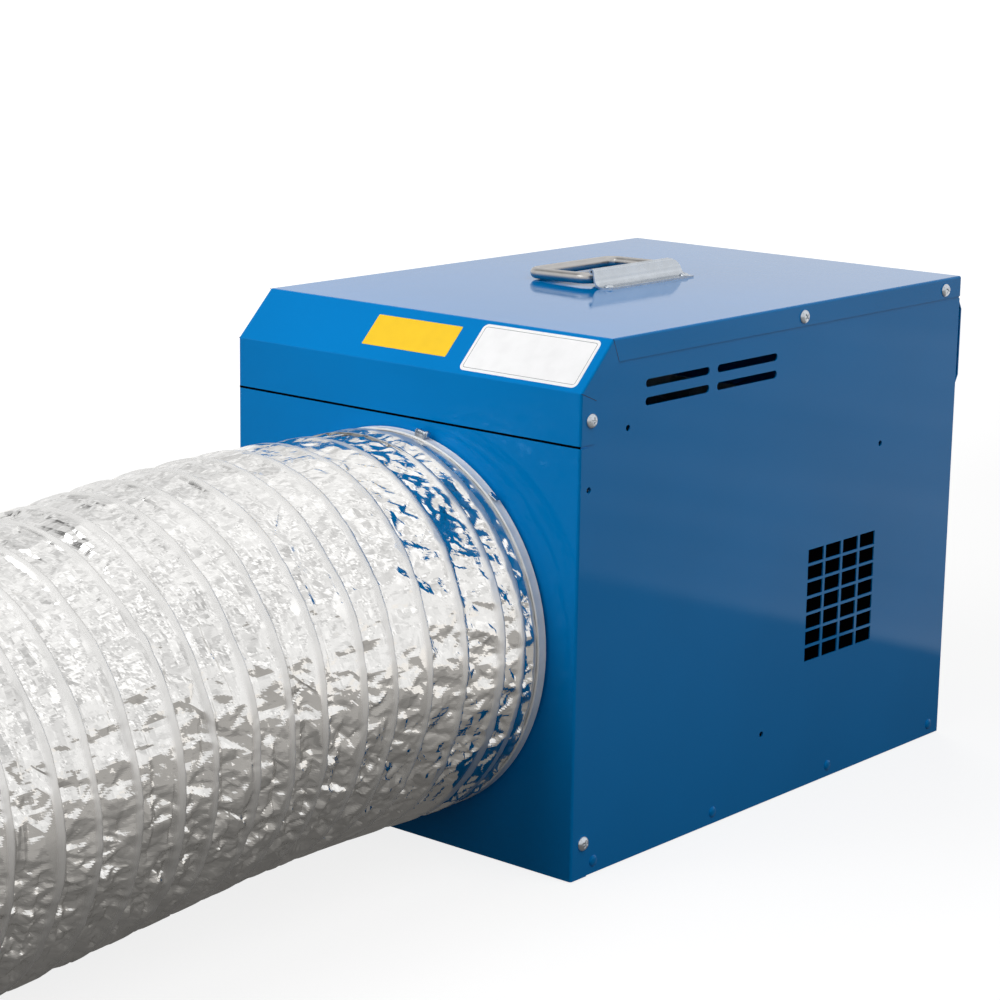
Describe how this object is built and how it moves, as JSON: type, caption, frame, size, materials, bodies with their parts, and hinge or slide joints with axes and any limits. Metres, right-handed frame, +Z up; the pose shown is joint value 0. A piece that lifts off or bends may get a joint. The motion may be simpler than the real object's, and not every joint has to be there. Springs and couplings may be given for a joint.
{
  "type": "commercial fan heater",
  "caption": "Blue sheet-steel fan heater with a sloped nose, folding carry handle, rear intake and controls, and a wide ribbed foil duct clipped to its round front outlet.",
  "frame": {"origin": "centre of the casing's footprint, on the floor", "axes": "+Z up; -Y is the front, where the outlet and the duct are; +X is to the right of someone looking at the front"},
  "size_m": [0.3698, 1.293, 0.4369],
  "materials": {
    "blue_paint": "powder-coat blue, semi-gloss with a fine orange peel",
    "zinc_plate": "bright zinc plate",
    "satin_steel": "plain round bar, satin",
    "galvanised": "hot-dip galvanised sheet, faint spangle",
    "foil": "aluminium foil laminate, crinkled between the wires",
    "element_sheath": "heat-browned alloy sheath",
    "fan_alloy": "cast aluminium, as cast",
    "motor_paint": "dark grey enamel",
    "iron_core": "laminated core steel, varnished",
    "black_plastic": "moulded black, fine texture",
    "spindle_brass": "turned brass",
    "red_plastic": "moulded red",
    "amber_lens": "moulded amber lens"
  },
  "bodies": {
    "casing": {"air_tunnel": "galvanised", "base_pan": "blue_paint", "base_rivets": "blue_paint", "bracket_posts": "galvanised", "contactor": "black_plastic", "control_panel": "blue_paint", "duct_clip_band": "zinc_plate", "duct_clip_screw": "zinc_plate", "duct_stored": "foil", "duct_stretch": "foil", "earth_stud": "zinc_plate", "element_support": "galvanised", "element_wall_nuts": "zinc_plate", "fan_bulkhead": "galvanised", "front_bearing": "satin_steel", "front_panel": "blue_paint", "front_panel_screws": "zinc_plate", "gland_body": "black_plastic", "gland_dome_nut": "black_plastic", "gland_locknut": "black_plastic", "guard_screws": "zinc_plate", "handle_bracket": "zinc_plate", "handle_screws": "zinc_plate", "heating_ring_inner": "element_sheath", "heating_ring_middle": "element_sheath", "heating_ring_outer": "element_sheath", "intake_guard": "blue_paint", "lamp_bodies": "black_plastic", "lamp_lenses": "amber_lens", "left_side_panel": "blue_paint", "lid": "blue_paint", "lid_screws": "zinc_plate", "motor_bolts": "zinc_plate", "motor_bracket": "galvanised", "motor_front_shield": "motor_paint", "motor_rear_shield": "motor_paint", "motor_shell": "motor_paint", "motor_stator": "iron_core", "outlet_spigot": "galvanised", "overheat_cutout": "black_plastic", "rear_bearing": "satin_steel", "rear_panel": "blue_paint", "rear_panel_screws": "zinc_plate", "reset_housing": "black_plastic", "right_side_panel": "blue_paint", "selector_body": "black_plastic", "terminal_block": "black_plastic", "thermostat_body": "black_plastic"},
    "fan": {"motor_shaft": "satin_steel", "motor_rotor": "iron_core", "fan_impeller": "fan_alloy", "impeller_nut": "zinc_plate"},
    "bail": {"handle_bail": "satin_steel"},
    "thermostat_control": {"thermostat_knob": "black_plastic", "thermostat_spindle": "spindle_brass"},
    "selector_control": {"selector_knob": "black_plastic", "selector_spindle": "spindle_brass"},
    "reset": {"reset_button": "red_plastic"}
  },
  "joints": [
    {"name": "fan_spin", "type": "hinge", "parent": "casing", "child": "fan", "pos_m": [0, 0, 0.178], "axis": [0, 1, 0], "continuous": true},
    {"name": "handle_lift", "type": "hinge", "parent": "casing", "child": "bail", "pos_m": [-0.003, 0.0245, 0.427], "axis": [0, 1, 0], "range_deg": [0, 91]},
    {"name": "thermostat_turn", "type": "hinge", "parent": "casing", "child": "thermostat_control", "pos_m": [-0.02, 0.272, 0.3615], "axis": [0, -1, 0], "range_deg": [0, 270]},
    {"name": "selector_turn", "type": "hinge", "parent": "casing", "child": "selector_control", "pos_m": [-0.095, 0.272, 0.3615], "axis": [0, -1, 0], "range_deg": [0, 135]},
    {"name": "reset_press", "type": "slide", "parent": "casing", "child": "reset", "axis": [0, -1, 0], "range_m": [0, 0.003], "stiffness_N_per_m": 500}
  ]
}
